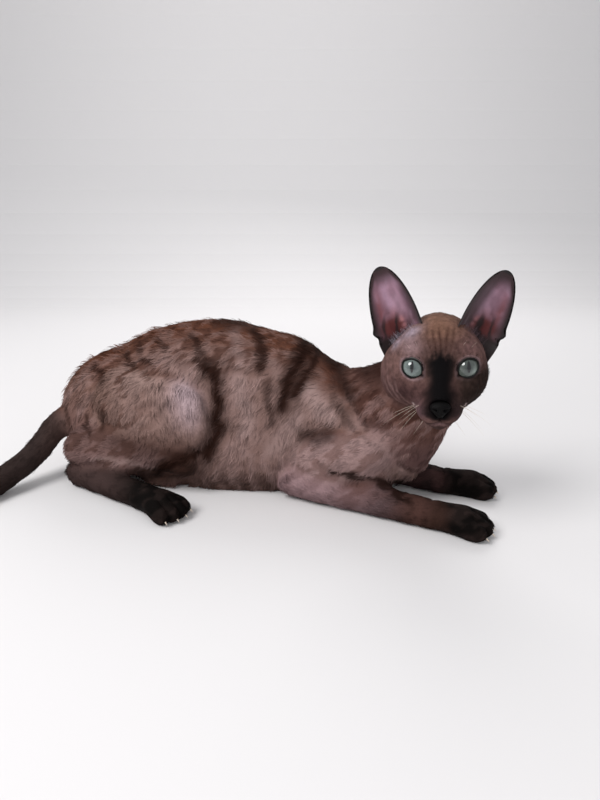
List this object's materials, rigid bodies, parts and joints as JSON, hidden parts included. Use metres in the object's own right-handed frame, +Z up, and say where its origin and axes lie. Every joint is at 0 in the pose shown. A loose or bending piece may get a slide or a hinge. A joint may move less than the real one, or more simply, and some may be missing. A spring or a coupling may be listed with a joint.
{
  "type": "devon rex cat",
  "caption": "Life-size still model of a short-coated rex cat at rest on its chest, forelegs laid forward and the head turned to its right.",
  "frame": {"origin": "middle of the bounding box, on the floor the cat lies on", "axes": "+X along the body from the tail to the forepaws, +Y to the cat's left, +Z up"},
  "size_m": [0.5852, 0.254, 0.2011],
  "materials": {
    "coat_brown": "short soft waved fur",
    "coat_haunch": "short soft waved fur, paler",
    "coat_dark": "short close fur of the dark points",
    "coat_mask": "very short close fur of the face",
    "ear_skin": "thin skin, nearly bare inside",
    "nose_leather": "damp fine-grained leather",
    "eye": "wet and clear"
  },
  "bodies": {
    "root": {"head": "coat_mask", "nose": "nose_leather", "eye_left": "eye", "eye_right": "eye", "ear_left": "ear_skin", "ear_right": "ear_skin", "torso": "coat_brown", "neck": "coat_brown", "upper_arm_right": "coat_brown", "forearm_right": "coat_brown", "forepaw_right": "coat_dark", "upper_arm_left": "coat_brown", "forearm_left": "coat_brown", "forepaw_left": "coat_dark", "thigh_right": "coat_haunch", "shank_right": "coat_haunch", "hindfoot_right": "coat_dark", "hindpaw_right": "coat_dark", "thigh_left": "coat_haunch", "shank_left": "coat_haunch", "hindfoot_left": "coat_dark", "hindpaw_left": "coat_dark", "tail_root": "coat_dark", "tail_middle": "coat_dark", "tail_tip": "coat_dark"}
  },
  "joints": []
}
